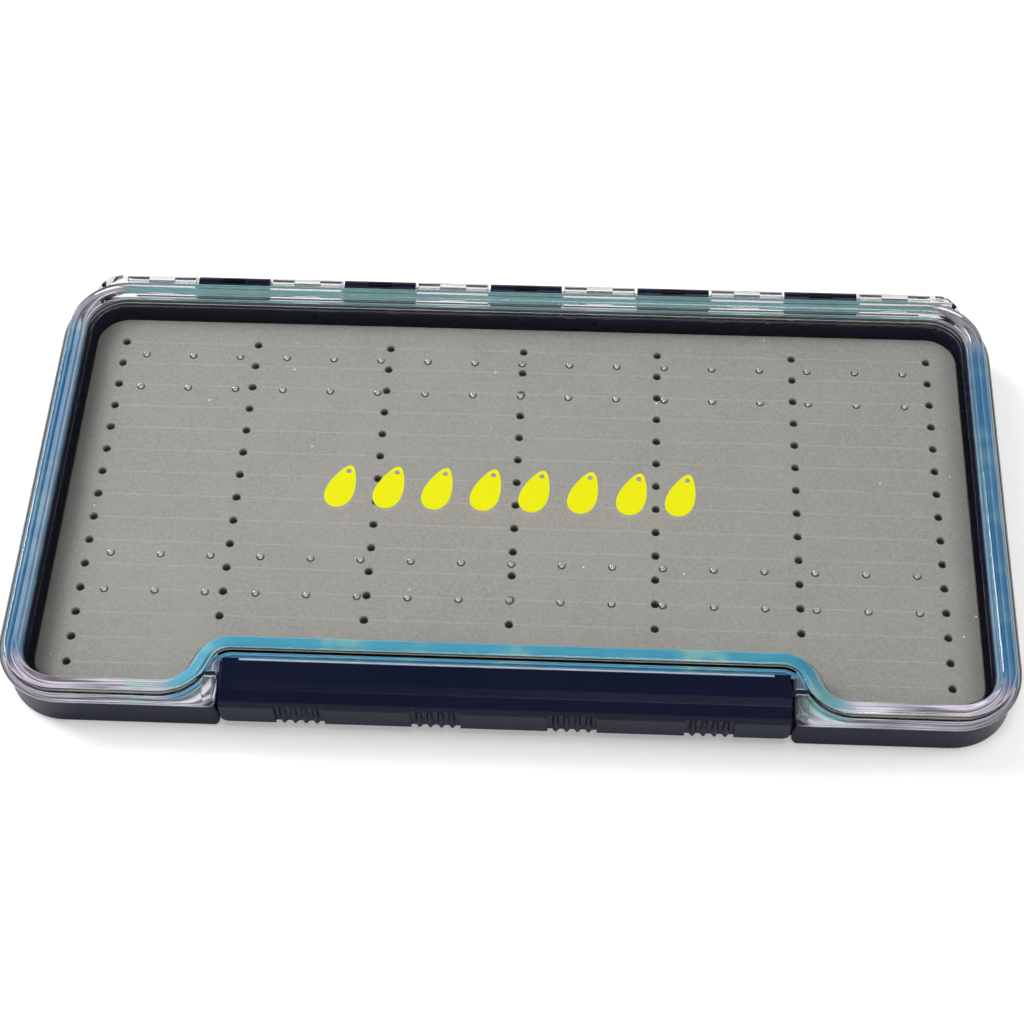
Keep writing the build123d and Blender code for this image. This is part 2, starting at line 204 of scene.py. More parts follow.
def make_sky():
    """White near the horizon, dark overhead, by the height of the ray."""
    world = bpy.data.worlds.new("studio")
    bpy.context.scene.world = world
    world.use_nodes = True
    world.cycles.sampling_method = "NONE"
    tree = world.node_tree
    ray = node(tree, "ShaderNodeTexCoord")
    height = node(tree, "ShaderNodeSeparateXYZ", Vector=ray.outputs["Generated"])
    fade = node(
        tree, "ShaderNodeMapRange",
        Value=height.outputs["Z"], From_Min=HORIZON_FADE[0], From_Max=HORIZON_FADE[1],
        To_Min=1.0, To_Max=CEILING_LIGHT,
    )
    tree.links.new(fade.outputs["Result"], tree.nodes["Background"].inputs["Color"])


def make_lamp(name, place, size, power):
    """A soft rectangular lamp that faces the middle of the box."""
    lamp = linked(name, bpy.data.lights.new(name, "AREA"))
    lamp.data.shape = "RECTANGLE"
    lamp.data.size, lamp.data.size_y = size
    lamp.data.energy = power
    lamp.visible_transmission = False
    turn = (-Vector(place)).to_track_quat("-Z", "Y").to_matrix().to_4x4()
    lamp.matrix_world = Matrix.Translation(place) @ turn


make_floor()
make_sky()
for lamp_name, (place, size, power) in LAMPS.items():
    make_lamp(lamp_name, place, size, power)
print(len(LAMPS), "lamps")

# %% [markdown]
# The foam and the seal both follow the raised rim, which steps back behind the latch in two
# S-bends. One function draws that closed line at any distance from the rim's inner wall, always
# with the same number of points, so that two of its lines can be joined by a strip of faces. A
# profile swept along the rim is then only a list of distances and heights.

# %% Lines along the rim
FOAM_INSET = 2.3 * MM
RIM_CORNER_RADIUS = 11.2 * MM
NOTCH_HALF_LENGTH = 77.4 * MM
NOTCH_FLARE = 4.7 * MM
NOTCH_DEPTH = 13.9 * MM
EAR_RADIUS = 9.0 * MM
BAY_RADIUS = 9.4 * MM
ARC_STEPS = 12
CIRCLE_SIDES = 20

foam_low, foam_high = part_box("foam_sheet")
seal_low, seal_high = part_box("lid_seal")


def rounded(corners):
    """Points of a closed outline whose corners, given as (x, y, radius), are rounded by arcs."""
    points = []
    for index, (x, y, radius) in enumerate(corners):
        corner = Vector((x, y))
        back = (Vector(corners[index - 1][:2]) - corner).normalized()
        ahead = (Vector(corners[(index + 1) % len(corners)][:2]) - corner).normalized()
        half = back.angle(ahead) / 2
        centre = corner + (back + ahead).normalized() * radius / math.sin(half)
        arms = [corner + way * radius / math.tan(half) - centre for way in (back, ahead)]
        first, last = [math.atan2(arm.y, arm.x) for arm in arms]
        sweep = math.remainder(last - first, 2 * math.pi)
        for step in range(ARC_STEPS + 1):
            angle = first + sweep * step / ARC_STEPS
            points.append(centre + radius * Vector((math.cos(angle), math.sin(angle))))
    return points


def rim_line(grow):
    """The rim's inner wall seen from above, grown outwards by a distance, as a closed line."""
    slope = NOTCH_FLARE / NOTCH_DEPTH
    shift = grow * math.hypot(1, slope)
    far = foam_high.x + FOAM_INSET + grow
    rear = foam_high.y + FOAM_INSET + grow
    front = foam_low.y - FOAM_INSET - grow
    inner = foam_low.y - FOAM_INSET + NOTCH_DEPTH - grow
    ear = NOTCH_HALF_LENGTH + (inner + grow - front) * slope - shift
    bay = NOTCH_HALF_LENGTH + grow * slope - shift
    corner = RIM_CORNER_RADIUS + grow
    return rounded([
        (far, rear, corner), (-far, rear, corner), (-far, front, corner),
        (-ear, front, EAR_RADIUS + grow), (-bay, inner, BAY_RADIUS - grow),
        (bay, inner, BAY_RADIUS - grow), (ear, front, EAR_RADIUS + grow), (far, front, corner),
    ])


def ring(bm, points, height):
    """A closed loop of edges at one height; returns its vertices and its edges."""
    verts = [bm.verts.new((x, y, height)) for x, y in points]
    edges = [bm.edges.new((verts[index - 1], verts[index])) for index in range(len(verts))]
    return verts, edges


def strip(bm, lower, upper):
    """Faces between two loops with the same number of vertices."""
    made = []
    for index in range(len(lower)):
        made.append(bm.faces.new((lower[index - 1], lower[index], upper[index], upper[index - 1])))
    return made


def circle_line(centre, radius):
    """Points of a small circle, as a closed line."""
    turns = [2 * math.pi * side / CIRCLE_SIDES for side in range(CIRCLE_SIDES)]
    return [centre + radius * Vector((math.cos(turn), math.sin(turn))) for turn in turns]


def finish_piece(name, bm, body):
    """Turns a mesh into a piece that rides on a body."""
    bmesh.ops.recalc_face_normals(bm, faces=bm.faces)
    mesh = bpy.data.meshes.new(name)
    bm.to_mesh(mesh)
    bm.free()
    piece = linked(name, mesh)
    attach(piece, body)
    return piece


print(len(rim_line(0)), "points along the rim")

# %% [markdown]
# The foam sheet is closed-cell foam with a soft cut edge. Its top is filled between the outline
# and the rims of the holes, and each hole is a small funnel with a rounded mouth. The slits are
# shut by the foam's own spring, so they are only faint pale lines, and those belong to the finish.

# %% Foam sheet
COLUMN_PITCH = 38.4 * MM
ROW_PITCH = 7.78 * MM
COLUMNS = 7
ROWS = 15
OUTER_COLUMN = (COLUMNS - 1) / 2 * COLUMN_PITCH
NOTCH_ROWS_END = -46.6 * MM
HOLE_PROFILE = ((1.32, 0.0), (1.2, 0.15), (1.1, 0.5), (1.0, 1.5), (0.95, 3.7))
EDGE_PROFILE = ((0.0, 4.3), (0.0, 0.45), (0.13, 0.13), (0.45, 0.0))


def hole_places():
    """Centres of the foam's holes: a full lattice, but only the end columns beside the latch."""
    for row in range(ROWS):
        for column in range(COLUMNS):
            x = (column - (COLUMNS - 1) / 2) * COLUMN_PITCH
            y = (row - (ROWS - 1) / 2) * ROW_PITCH
            if y > NOTCH_ROWS_END or abs(x) > OUTER_COLUMN - MM:
                yield x, y


def make_foam():
    """The foam sheet, with rounded top edges and funnel-shaped holes."""
    bm = bmesh.new()
    top = foam_high.z
    loops = []
    for inset, depth in EDGE_PROFILE:
        verts, edges = ring(bm, rim_line(-FOAM_INSET - inset * MM), top - depth * MM)
        loops.append(verts)
    top_edges = list(edges)
    curved = []
    for lower, upper in zip(loops, loops[1:]):
        curved += strip(bm, lower, upper)
    bm.faces.new(loops[0])
    for x, y in hole_places():
        rings = []
        for radius, depth in HOLE_PROFILE:
            circle = circle_line(Vector((x, y)), radius * MM)
            verts, edges = ring(bm, circle, top - depth * MM)
            if not rings:
                top_edges += edges
            rings.append(verts)
        for lower, upper in zip(rings, rings[1:]):
            curved += strip(bm, lower, upper)
        bm.faces.new(rings[-1])
    bmesh.ops.triangle_fill(bm, edges=top_edges, use_beauty=True, normal=(0, 0, 1))
    for face in curved:
        face.smooth = True
    foam = finish_piece("foam", bm, "tub")
    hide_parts("foam_sheet")
    return foam


foam = make_foam()
print("foam", len(foam.data.polygons), "faces,", len(list(hole_places())), "holes")

# %% [markdown]
# The seal is soft silicone in the groove under the rim. Its outer half clings to the clear plastic,
# so there its surface lies a hair inside the lid. Under its inner half a breath of air is left:
# seen through the rim's wall, the lid then mirrors the dark ceiling and shows a dark line. A
# narrow dent along the top shows as another line, and a skin as thin as foil spreads from the
# seal under the flange, out to the edge of the box. The skin takes the seal's tints, with a painted
# highlight and a painted dark edge, and silver painted reflection in the front corners.

# %% Seal
SEAL_PROFILE = (
    (-0.72, 0.1), (-0.72, 0.9), (1.4, 0.9), (1.45, 1.03), (2.2, 1.03), (2.3, 0.85), (2.5, 0.85),
    (2.6, 1.03), (3.8, 1.03), (3.8, 0.1), (3.4, 0.01), (-0.4, 0.01),
)
REAR_START = 0.1
REAR_FROM = 50.0 * MM
REAR_FADE = 10.0 * MM
SKIN_START = 3.75 * MM
SKIN_END = 6.0 * MM
SKIN_INSET = 0.12 * MM
SKIN_UNDER = 0.07 * MM
SKIN_OVER = 0.02 * MM
BOX_CORNER_RADIUS = 18.0 * MM
FLANGE_FRONT = 5.4 * MM
BAY_HALF_LENGTH = 74.0 * MM
BAY_LINE = -55.9 * MM
BAY_MOUTH_RADIUS = 1.4 * MM


def flange_line():
    """The flange's edge seen from above, with the latch's bay, a little inside the real edge."""
    far = cad_high.x - SKIN_INSET
    front = foam_low.y - FOAM_INSET - FLANGE_FRONT + SKIN_INSET
    corner = BOX_CORNER_RADIUS - SKIN_INSET
    bay = BAY_HALF_LENGTH + SKIN_INSET
    inner = BAY_LINE + SKIN_INSET
    return rounded([
        (far, -front, corner), (-far, -front, corner), (-far, front, corner),
        (-bay, front, BAY_MOUTH_RADIUS), (-bay, inner, SKIN_INSET), (bay, inner, SKIN_INSET),
        (bay, front, BAY_MOUTH_RADIUS), (far, front, corner),
    ])


def seal_line(grow):
    """One line of the seal, a distance in millimetres from the rim's inner wall.

    At the rear the seal is narrower, and its inner side starts further out.
    """
    points = []
    for wide, narrow in zip(rim_line(grow * MM), rim_line(max(grow, REAR_START) * MM)):
        share = min(max((wide.y - REAR_FROM) / REAR_FADE, 0.0), 1.0)
        points.append(wide.lerp(narrow, share))
    return points


def sweep(bm, lines, smooth):
    """A closed body of strips between lines along the rim, each given as (points, height, across).

    Its UV map holds how far a point lies along the rim and across it, in metres.
    """
    layer = bm.loops.layers.uv.verify()
    middle = rim_line(0)
    along = [0.0]
    for before, after in zip(middle, middle[1:]):
        along.append(along[-1] + (after - before).length)
    spots = {}
    loops = []
    for points, height, across in lines:
        verts, edges = ring(bm, points, height)
        loops.append(verts)
        for vert, run in zip(verts, along):
            spots[vert] = (run, across)
    for index in range(len(loops)):
        for face in strip(bm, loops[index - 1], loops[index]):
            face.smooth = smooth
            for corner in face.loops:
                corner[layer].uv = spots[corner.vert]


def make_seal():
    """The seal's profile, as distances in millimetres and shares of its height, and its skin."""
    bm = bmesh.new()
    height = seal_high.z - seal_low.z
    profile = []
    for grow, share in SEAL_PROFILE:
        profile.append((seal_line(grow), seal_low.z + share * height, grow * MM))
    sweep(bm, profile, smooth=True)
    under = seal_low.z - SKIN_UNDER
    over = seal_low.z + SKIN_OVER
    inner = rim_line(SKIN_START)
    outer = flange_line()
    # The skin's colour is mostly painted light: a painted highlight, a painted dark edge, and silver
    # painted reflection at the front.
    skin = [
        (inner, under, SKIN_START), (inner, over, SKIN_START),
        (outer, over, SKIN_END), (outer, under, SKIN_END),
    ]
    sweep(bm, skin, smooth=False)
    seal = finish_piece("seal", bm, "lid")
    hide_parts("lid_seal")
    return seal


seal = make_seal()
print("seal", len(seal.data.polygons), "faces")

# %% [markdown]
# The lid carries a yellow print in its middle: a row of simple spoons, each an oval with a round
# hole, laid as a thin film on the panel. A ray sent straight down finds the panel's height.

# %% Print on the lid
PRINT_COUNT = 8
PRINT_PITCH = 13.2 * MM
PRINT_LENGTH = 14.5 * MM
PRINT_HALF_WIDTH = 3.7 * MM
PRINT_TILT = math.radians(-16)
PRINT_MIDDLE = Vector((-1.0, 0.2)) * MM
PRINT_TOP = 0.03 * MM
PRINT_BOTTOM = 0.009 * MM
PRINT_HOLE = 0.75 * MM
PRINT_HOLE_PLACE = 0.36 * PRINT_LENGTH
PRINT_FULLNESS = 0.35
PRINT_SIDES = 48
ABOVE_LID = Vector((0, 0, 0.1))
UP = Vector((0, 0, 1))


def spoon_line(centre):
    """Outline of one spoon: an oval that is fuller at its lower end."""
    points = []
    for side in range(PRINT_SIDES):
        turn = 2 * math.pi * side / PRINT_SIDES
        along = math.cos(turn) * PRINT_LENGTH / 2
        across = math.sin(turn) * PRINT_HALF_WIDTH * (1 - PRINT_FULLNESS * math.cos(turn))
        flat = Matrix.Rotation(PRINT_TILT, 2) @ Vector((across, along))
        points.append(centre + flat)
    return points


def make_print():
    """A row of spoons, each with a round hole near its narrow end."""
    panel_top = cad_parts["lid"].ray_cast(ABOVE_LID, -UP)[1].z
    bm = bmesh.new()
    for index in range(PRINT_COUNT):
        centre = PRINT_MIDDLE + Vector(((index - (PRINT_COUNT - 1) / 2) * PRINT_PITCH, 0))
        eye = centre + Matrix.Rotation(PRINT_TILT, 2) @ Vector((0, PRINT_HOLE_PLACE))
        edges = ring(bm, spoon_line(centre), panel_top + PRINT_TOP)[1]
        edges += ring(bm, circle_line(eye, PRINT_HOLE), panel_top + PRINT_TOP)[1]
        bmesh.ops.triangle_fill(bm, edges=edges, use_beauty=True, normal=(0, 0, 1))
    walls = bmesh.ops.extrude_face_region(bm, geom=bm.faces[:])
    moved = [part for part in walls["geom"] if isinstance(part, bmesh.types.BMVert)]
    bmesh.ops.translate(bm, vec=(0, 0, PRINT_BOTTOM - PRINT_TOP), verts=moved)
    return finish_piece("lid_print", bm, "lid")


lid_print = make_print()
lid_print.visible_shadow = False
print("print", len(lid_print.data.polygons), "faces")

# %% [markdown]
# Under the panel hang four rows of small clear domes. Just under each tip sits a small white disc,
# shifted a little to one side, which is a painted glint, so each dome shows a white point. The rays
# that find the tips go straight up.

# %% Painted glints under the domes
DOME_COUNT = 17
DOME_PITCH = 13.4 * MM
DOME_ROWS = [row * MM for row in (45.2, 33.5, -23.6, -35.3)]
# Each disc is a painted glint: a white spot under a dome's tip.
GLINT_RADIUS = 0.22 * MM
GLINT_THICKNESS = 0.02 * MM
GLINT_SIDES = 10
# Painted glint: each disc sits a little off the tip, where a highlight would fall.
GLINT_SHIFT = Vector((-0.15, 0.1, 0)) * MM


def make_dome_glints():
    """A small white disc just under the lowest point of each dome, shifted a little: a painted glint."""
    bm = bmesh.new()
    for row in DOME_ROWS:
        for index in range(DOME_COUNT):
            spot = Vector(((index - (DOME_COUNT - 1) / 2) * DOME_PITCH, row, 0))
            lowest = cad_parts["lid"].ray_cast(spot, UP)[1]
            middle = lowest + GLINT_SHIFT - GLINT_THICKNESS * UP
            bmesh.ops.create_cone(
                bm, cap_ends=True, segments=GLINT_SIDES, radius1=GLINT_RADIUS, radius2=GLINT_RADIUS,
                depth=GLINT_THICKNESS, matrix=Matrix.Translation(middle),
            )
    return finish_piece("dome_glints", bm, "lid")


dome_glints = make_dome_glints()
print("dome tips", len(DOME_ROWS) * DOME_COUNT)

# %% [markdown]
# Now the finishes. A shared effect is a node group: `fine_noise` gives a share that wanders from
# place to place and a normal that it bends, and each surface uses it at its own scale and
# strength. Positions come from Object coordinates, which are metres here.

# %% Shared effects


def new_group(name, outputs, inputs=()):
    """An empty node group with these (name, kind) sockets; returns it with its end nodes."""
    group = bpy.data.node_groups.new(name, "ShaderNodeTree")
    for socket_name, kind, value in inputs:
        socket = group.interface.new_socket(socket_name, in_out="INPUT", socket_type=kind)
        socket.default_value = value
    for socket_name, kind in outputs:
        group.interface.new_socket(socket_name, in_out="OUTPUT", socket_type=kind)
    return group, group.nodes.new("NodeGroupInput"), group.nodes.new("NodeGroupOutput")


def make_fine_noise():
    """Noise of a chosen grain: its value, and a normal that it bends by a chosen strength."""
    group, start, end = new_group(
        "fine_noise",
        [("Share", "NodeSocketFloat"), ("Normal", "NodeSocketVector")],
        [("Scale", "NodeSocketFloat", 1000.0), ("Strength", "NodeSocketFloat", 0.1)],
    )
    place = node(group, "ShaderNodeTexCoord")
    noise = node(
        group, "ShaderNodeTexNoise",
        Vector=place.outputs["Object"], Scale=start.outputs["Scale"], Detail=3.0,
    )
    bump = node(
        group, "ShaderNodeBump",
        Height=noise.outputs["Fac"], Strength=start.outputs["Strength"], Distance=0.1 * MM,
    )
    group.links.new(noise.outputs["Fac"], end.inputs["Share"])
    group.links.new(bump.outputs["Normal"], end.inputs["Normal"])
    return group


FINE_NOISE = make_fine_noise()


def grain(tree, scale, strength):
    """The shared noise in a material."""
    return node(tree, "ShaderNodeGroup", {"node_tree": FINE_NOISE}, Scale=scale, Strength=strength)


def in_millimetres(tree, metres):
    """The three parts of a place given in metres, as sockets in millimetres."""
    scaled = node(tree, "ShaderNodeVectorMath", {"operation": "SCALE"}, Vector=metres, Scale=1000.0)
    parts = node(tree, "ShaderNodeSeparateXYZ", Vector=scaled.outputs["Vector"])
    return parts.outputs["X"], parts.outputs["Y"], parts.outputs["Z"]


def place_in_millimetres(tree):
    """X, Y and Z of the shaded point in millimetres, in the object's own frame."""
    place = node(tree, "ShaderNodeTexCoord")
    return in_millimetres(tree, place.outputs["Object"])


print("shared groups:", FINE_NOISE.name)

# %% [markdown]
# Navy plastic is moulded and polished, but never a mirror: its roughness wanders a little and fine
# waves soften what it reflects. The steel rod has a fine grain, and the glue film is pale and dull.

# %% Navy plastic, steel and glue
EDGE_SOFTNESS = 0.3 * MM


def make_navy():
    """Dark navy moulding with a soft gloss."""
    material, tree, shader = new_material(
        "navy_plastic", base_color=(0.004, 0.006, 0.021, 1), specular_ior_level=0.16
    )
    cloud = grain(tree, scale=60.0, strength=0.0)
    fine = grain(tree, scale=900.0, strength=0.0)
    rough = node(tree, "ShaderNodeMapRange", Value=cloud.outputs["Share"], To_Min=0.2, To_Max=0.36)
    worn = node(tree, "ShaderNodeBevel", {"samples": 4}, Radius=EDGE_SOFTNESS)
    bump = node(
        tree, "ShaderNodeBump",
        Height=fine.outputs["Share"], Normal=worn.outputs["Normal"], Strength=0.04, Distance=0.1 * MM,
    )
    wire(tree, shader, roughness=rough.outputs["Result"], normal=bump.outputs["Normal"])
    return material


def make_steel():
    """Drawn stainless steel."""
    material, tree, shader = new_material("steel", base_color=(0.6, 0.6, 0.62, 1), metallic=1.0)
    fine = grain(tree, scale=2500.0, strength=0.08)
    rough = node(tree, "ShaderNodeMapRange", Value=fine.outputs["Share"], To_Min=0.22, To_Max=0.4)
    wire(tree, shader, roughness=rough.outputs["Result"], normal=fine.outputs["Normal"])
    return material


def make_glue():
    """Pale adhesive film."""
    material, tree, shader = new_material("glue", base_color=(0.7, 0.69, 0.62, 1), roughness=0.6)
    fine = grain(tree, scale=700.0, strength=0.1)
    wire(tree, shader, normal=fine.outputs["Normal"])
    return material


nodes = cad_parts
navy = make_navy()
dress(nodes["tub"], navy)
dress(nodes["latch"], navy)
dress(nodes["hinge_rod"], make_steel())
dress(nodes["foam_glue"], make_glue())
print("dressed tub, latch, hinge_rod and foam_glue")

# %% [markdown]
# Foam shows its cells as a fine mottle and holds white dust. The slits are worked out from the
# distance to the nearest row, and they end at the outer holes. Inside the holes, down the sides
# and along both ends the foam is painted darker: painted shade, where little light gets there.

# %% Foam finish
FOAM_DARK = (0.237, 0.233, 0.212, 1)
FOAM_PALE = (0.292, 0.287, 0.264, 1)
CLOUD_PALE = (0.32, 0.312, 0.284, 1)
SLIT_PALE = (0.41, 0.405, 0.37, 1)
DUST_WHITE = (0.9, 0.9, 0.88, 1)
# Painted shade along both ends of the sheet.
END_PAINTED_SHADE = (0.05, 0.052, 0.046, 1)
# Painted shade inside the holes and down the sides.
HOLE_PAINTED_SHADE = (0.07, 0.078, 0.066, 1)
CELL_CONTRAST = (0.25, 0.75)
CLOUD_CONTRAST = (0.35, 0.7)
CLOUD_SHARE = 0.2
SLIT_HALF_WIDTH = 0.22
SLIT_SHARE = 0.35
ROW_MM = ROW_PITCH / MM
OUTER_MM = OUTER_COLUMN / MM
SHORT_ROWS_END = NOTCH_ROWS_END / MM + 2.0
EAR_SLIT_START = 88.1
TOP_MM = foam_high.z / MM
END_SHADE = (116.0, 124.5)
END_SHARE = 0.5
HOLE_SHADE = (0.15, 1.3)
DUST_GRID = 260.0
DUST_EDGE = (0.075, 0.045)
DUST_RARITY = 0.9


def slit_mask(tree, x, y):
    """1 along the slits and 0 elsewhere."""
    row = maths(tree, "DIVIDE", y, ROW_MM)
    off = maths(tree, "ABSOLUTE", maths(tree, "SUBTRACT", row, maths(tree, "ROUND", row)))
    line = between(tree, maths(tree, "MULTIPLY", off, ROW_MM), SLIT_HALF_WIDTH, SLIT_HALF_WIDTH / 3)
    side = maths(tree, "ABSOLUTE", x)
    inside = maths(tree, "LESS_THAN", side, OUTER_MM)
    rows = maths(tree, "LESS_THAN", maths(tree, "ABSOLUTE", y), ROW_MM * ROWS / 2)
    beside_latch = maths(tree, "LESS_THAN", y, SHORT_ROWS_END)
    short = maths(tree, "MULTIPLY", beside_latch, maths(tree, "LESS_THAN", side, EAR_SLIT_START))
    open_rows = maths(tree, "MULTIPLY", rows, maths(tree, "SUBTRACT", 1.0, short))
    return maths(tree, "MULTIPLY", line, maths(tree, "MULTIPLY", inside, open_rows))


def make_foam_finish():
    """Matt grey foam with a mottle, slits, white dust, and painted shade in the holes and at both ends.
    """
    material, tree, shader = new_material("grey_foam", roughness=0.95, specular_ior_level=0.1)
    x, y, z = place_in_millimetres(tree)
    cells = grain(tree, scale=1400.0, strength=0.35)
    cloud = grain(tree, scale=45.0, strength=0.0)
    mottle = between(tree, cells.outputs["Share"], *CELL_CONTRAST)
    colour = blend(tree, mottle, FOAM_DARK, FOAM_PALE)
    clouds = maths(tree, "MULTIPLY", between(tree, cloud.outputs["Share"], *CLOUD_CONTRAST), CLOUD_SHARE)
    colour = blend(tree, clouds, colour, CLOUD_PALE)
    slits = maths(tree, "MULTIPLY", slit_mask(tree, x, y), SLIT_SHARE)
    colour = blend(tree, slits, colour, SLIT_PALE)
    # Painted shade: darker towards both ends.
    ends = maths(tree, "MULTIPLY", between(tree, maths(tree, "ABSOLUTE", x), *END_SHADE), END_SHARE)
    colour = blend(tree, ends, colour, END_PAINTED_SHADE)
    place = node(tree, "ShaderNodeTexCoord")
    dust = node(tree, "ShaderNodeTexVoronoi", Vector=place.outputs["Object"], Scale=DUST_GRID)
    speck = between(tree, dust.outputs["Distance"], *DUST_EDGE)
    rare = node(tree, "ShaderNodeSeparateColor", Color=dust.outputs["Color"])
    chosen = maths(tree, "GREATER_THAN", rare.outputs["Red"], DUST_RARITY)
    speck = maths(tree, "MULTIPLY", speck, chosen)
    colour = blend(tree, speck, colour, DUST_WHITE)
    # Painted shade: darker the deeper a point lies below the top, in the holes and down the sides.
    depth = between(tree, maths(tree, "SUBTRACT", TOP_MM, z), *HOLE_SHADE)
    colour = blend(tree, depth, colour, HOLE_PAINTED_SHADE)
    wire(tree, shader, base_color=colour, normal=cells.outputs["Normal"])
    return material


dress(foam, make_foam_finish())
print("dressed", foam.name)

# %% [markdown]
# The seal is one blue silicone, yet through the curved rim it shows a different tint on every
# side: blue at the ends, teal at the rear and in the notch, and a silvery mauve in the front
# corners, where the rim mirrors the bright table. The finish paints these tints by position, so
# they are painted reflection and shade, not the silicone's own colour: the silver streaks are a
# painted reflection, the pale and pink lines painted highlights, and the dark edges painted shade.
# Each zone below is a pair of places in millimetres, between which one tint fades into the next.
# Places across and along the seal come from its UV map, so thin streaks and dark edges follow its bends.

# %% Seal finish
# Tints of the blue seal as the rim shows it, painted by position: painted reflection and shade.
SIDE_BLUE = (0.02, 0.125, 0.25, 1)
NOTCH_TEAL = (0.045, 0.26, 0.36, 1)
NOTCH_BLUE = (0.05, 0.25, 0.42, 1)
REAR_TEAL = (0.12, 0.24, 0.25, 1)
SEA_GREEN = (0.22, 0.42, 0.36, 1)
# Painted shade: a dark line along both edges of the seal.
PAINTED_EDGE_SHADE = (0.02, 0.022, 0.03, 1)
# Painted highlight: a pale line near the outer edge.
PAINTED_EDGE_HIGHLIGHT = (0.27, 0.31, 0.29, 1)
# Painted highlight: a pink-grey line on the notch's band.
PAINTED_PINK_HIGHLIGHT = (0.5, 0.44, 0.45, 1)
# Painted reflection: dark and pale silver streaks, where the rim mirrors the bright table.
DARK_SILVER_REFLECTION = (0.07, 0.062, 0.085, 1)
PALE_SILVER_REFLECTION = (0.66, 0.62, 0.7, 1)
REAR_ZONE = (50.0, 64.0)
REAR_CORNER_ZONE = (50.0, 62.0)
REAR_CORNER_SIDES = (112.0, 122.0)
FRONT_ZONE = (-53.0, -62.0)
FRONT_SIDES = (82.0, 91.0)
NOTCH_ZONE = (-20.0, -40.0)
NOTCH_SIDES = (100.0, 86.0)
GREEN_SIDES = (114.0, 88.0)
EAR_SHEEN_ZONE = (-56.0, -57.0)
SKIN_ACROSS = (3.8, 4.0)
BLUE_ACROSS = (1.5, 3.0)
PINK_HIGHLIGHT_ACROSS = (4.8, 5.2)
EDGE_HIGHLIGHT_ACROSS = (4.8, 5.5)
OUTER_EDGE_ACROSS = (5.5, 5.7)
INNER_EDGE_ACROSS = (-0.35, -0.5)
STREAK_LENGTH = 20.0
STREAK_WIDTH = 0.5
STREAK_CONTRAST = (0.38, 0.66)
PATCH_CONTRAST = (0.5, 0.7)
NOTCH_PATCHES = 0.5
PATCHES_ANYWHERE = 0.2
GREEN_PATCHES = 0.8
GREEN_VEIL = 0.1
REAR_SHADE = 0.55


def place_on_seal(tree):
    """How far the shaded point lies along and across the seal in millimetres, from its UV map."""
    place = node(tree, "ShaderNodeUVMap")
    along, across, _ = in_millimetres(tree, place.outputs["UV"])
    return along, across


def streaky(tree, along, across):
    """Noise in thin streaks that follow the seal, from 0 to 1."""
    slow = maths(tree, "DIVIDE", along, STREAK_LENGTH)
    quick = maths(tree, "DIVIDE", across, STREAK_WIDTH)
    place = node(tree, "ShaderNodeCombineXYZ", X=slow, Y=quick)
    noise = node(tree, "ShaderNodeTexNoise", Vector=place.outputs["Vector"], Scale=1.0, Detail=2.0)
    return between(tree, noise.outputs["Fac"], *STREAK_CONTRAST)


def in_both(tree, first, first_zone, second, second_zone):
    """1 where each of two places has passed its own zone."""
    return maths(tree, "MULTIPLY", between(tree, first, *first_zone), between(tree, second, *second_zone))


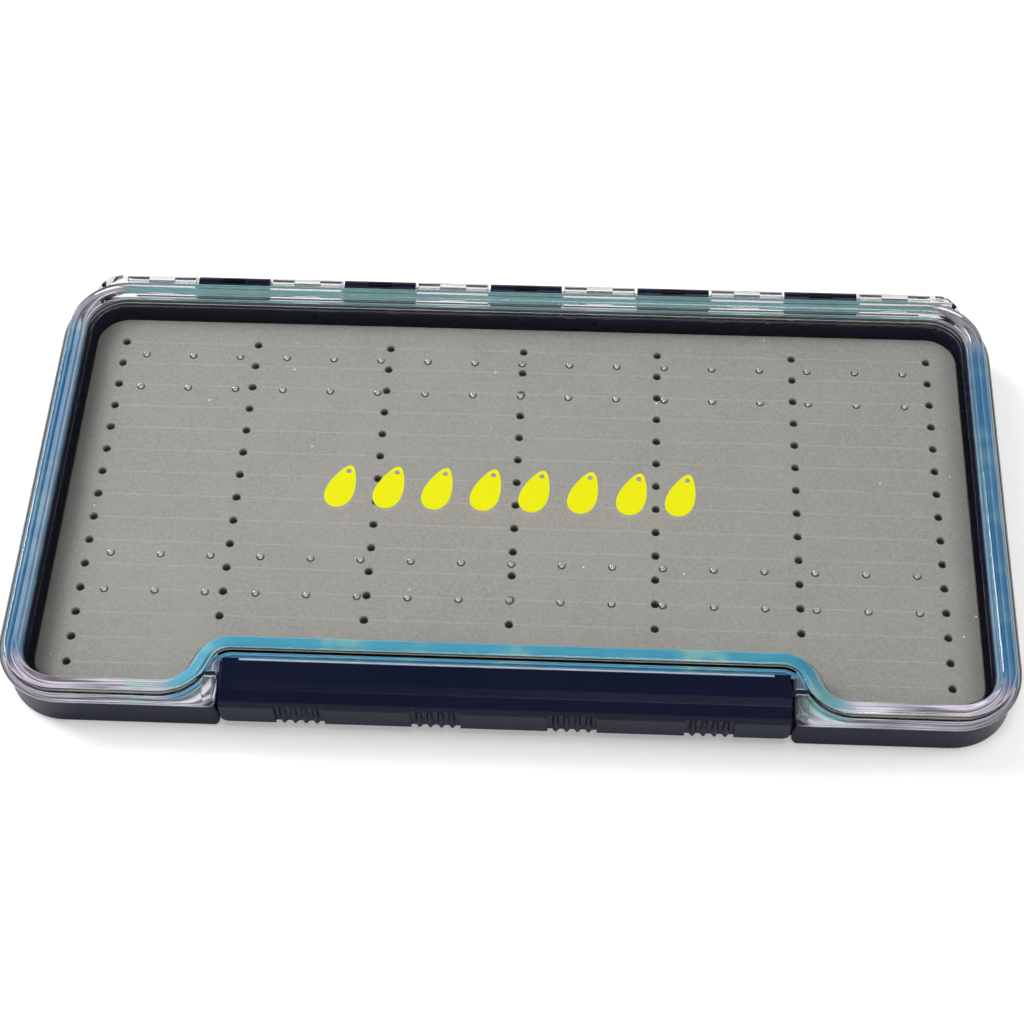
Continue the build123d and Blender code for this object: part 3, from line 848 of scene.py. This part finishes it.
def make_silicone():
    """Satin silicone with tints painted along the rim: painted reflection, painted highlights and painted
    shade at its edges.
    """
    material, tree, shader = new_material("blue_silicone", roughness=0.3)
    x, y, _ = place_in_millimetres(tree)
    side = maths(tree, "ABSOLUTE", x)
    along, across = place_on_seal(tree)
    fine = grain(tree, scale=500.0, strength=0.12)
    wander = grain(tree, scale=90.0, strength=0.0)
    patches = between(tree, wander.outputs["Share"], *PATCH_CONTRAST)
    # Tints painted by position: the seal's blue as the rim shows it, a darker teal at the rear.
    colour = blend(tree, between(tree, y, *REAR_ZONE), SIDE_BLUE, REAR_TEAL)
    # Painted highlight: a pale line near the seal's outer edge.
    colour = blend(tree, between(tree, across, *EDGE_HIGHLIGHT_ACROSS), colour, PAINTED_EDGE_HIGHLIGHT)
    notch = in_both(tree, side, NOTCH_SIDES, y, NOTCH_ZONE)
    band = blend(tree, between(tree, across, *BLUE_ACROSS), NOTCH_TEAL, NOTCH_BLUE)
    # Painted highlight: a pink-grey line on the notch's band.
    band = blend(tree, between(tree, across, *PINK_HIGHLIGHT_ACROSS), band, PAINTED_PINK_HIGHLIGHT)
    colour = blend(tree, notch, colour, band)
    share = maths(tree, "ADD", maths(tree, "MULTIPLY", notch, NOTCH_PATCHES), PATCHES_ANYWHERE)
    colour = blend(tree, maths(tree, "MULTIPLY", patches, share), colour, SEA_GREEN)
    # Painted reflection: silver streaks, darker at the rear and mixed with sea green, in the front and
    # rear corners and on the skin at the front.
    silver_reflection = blend(tree, streaky(tree, along, across), DARK_SILVER_REFLECTION, PALE_SILVER_REFLECTION)
    rear = between(tree, y, *REAR_CORNER_ZONE)
    silver_reflection = blend(tree, maths(tree, "MULTIPLY", rear, REAR_SHADE), silver_reflection, DARK_SILVER_REFLECTION)
    greens = maths(tree, "ADD", maths(tree, "MULTIPLY", patches, GREEN_PATCHES), GREEN_VEIL)
    green = maths(tree, "MULTIPLY", between(tree, side, *GREEN_SIDES), greens)
    silver_reflection = blend(tree, green, silver_reflection, SEA_GREEN)
    front = in_both(tree, y, FRONT_ZONE, side, FRONT_SIDES)
    rear_corner = maths(tree, "MULTIPLY", rear, between(tree, side, *REAR_CORNER_SIDES))
    ear_skin_sheen = in_both(tree, across, SKIN_ACROSS, y, EAR_SHEEN_ZONE)
    corners = maths(tree, "MAXIMUM", maths(tree, "MAXIMUM", front, rear_corner), ear_skin_sheen)
    colour = blend(tree, corners, colour, silver_reflection)
    # Painted shade: dark lines along the outer and inner edges.
    outer_edge = between(tree, across, *OUTER_EDGE_ACROSS)
    inner_edge = between(tree, across, *INNER_EDGE_ACROSS)
    colour = blend(tree, maths(tree, "MAXIMUM", outer_edge, inner_edge), colour, PAINTED_EDGE_SHADE)
    wire(tree, shader, base_color=colour, normal=fine.outputs["Normal"])
    return material


dress(seal, make_silicone())
print("dressed", seal.name)

# %% [markdown]
# The lid is clear polycarbonate: full transmission, no roughness. Light that goes to what lies
# below would be lost in such glass, so for shadow rays alone the lid is simply see-through. The
# print is a flat ink, and the discs under the domes are matt white, a painted glint.

# %% Clear plastic and print
INK_DEEP = (0.7, 0.69, 0.001, 1)
INK_BRIGHT = (0.75, 0.74, 0.004, 1)
# Painted glint: the greys and whites of the discs under the domes.
GLINT_GREY = (0.7, 0.7, 0.7, 1)
GLINT_WHITE = (0.95, 0.95, 0.95, 1)


def make_clear():
    """Clear plastic that lets lamp light through."""
    material, tree, shader = new_material(
        "clear_plastic", base_color=(0.94, 0.935, 0.945, 1), roughness=0.0, ior=1.57,
        transmission_weight=1.0,
    )
    through = node(tree, "ShaderNodeBsdfTransparent", Color=(0.95, 0.95, 0.955, 1))
    rays = node(tree, "ShaderNodeLightPath")
    mix = node(
        tree, "ShaderNodeMixShader",
        i0=rays.outputs["Is Shadow Ray"], i1=shader.outputs["BSDF"], i2=through.outputs["BSDF"],
    )
    tree.links.new(mix.outputs["Shader"], tree.nodes["Material Output"].inputs["Surface"])
    return material


def make_ink():
    """Flat yellow printing ink."""
    material, tree, shader = new_material("yellow_print", roughness=0.45, specular_ior_level=0.15)
    fine = grain(tree, scale=1800.0, strength=0.05)
    colour = blend(tree, fine.outputs["Share"], INK_DEEP, INK_BRIGHT)
    wire(tree, shader, base_color=colour, normal=fine.outputs["Normal"])
    return material


def make_glint_white():
    """Matt white for the painted glints under the domes."""
    material, tree, shader = new_material("painted_glint", roughness=0.8)
    fine = grain(tree, scale=3000.0, strength=0.3)
    colour = blend(tree, fine.outputs["Share"], GLINT_GREY, GLINT_WHITE)
    wire(tree, shader, base_color=colour, normal=fine.outputs["Normal"])
    return material


dress(nodes["lid"], make_clear())
dress(lid_print, make_ink())
dress(dome_glints, make_glint_white())
print(len(bpy.data.materials), "materials")
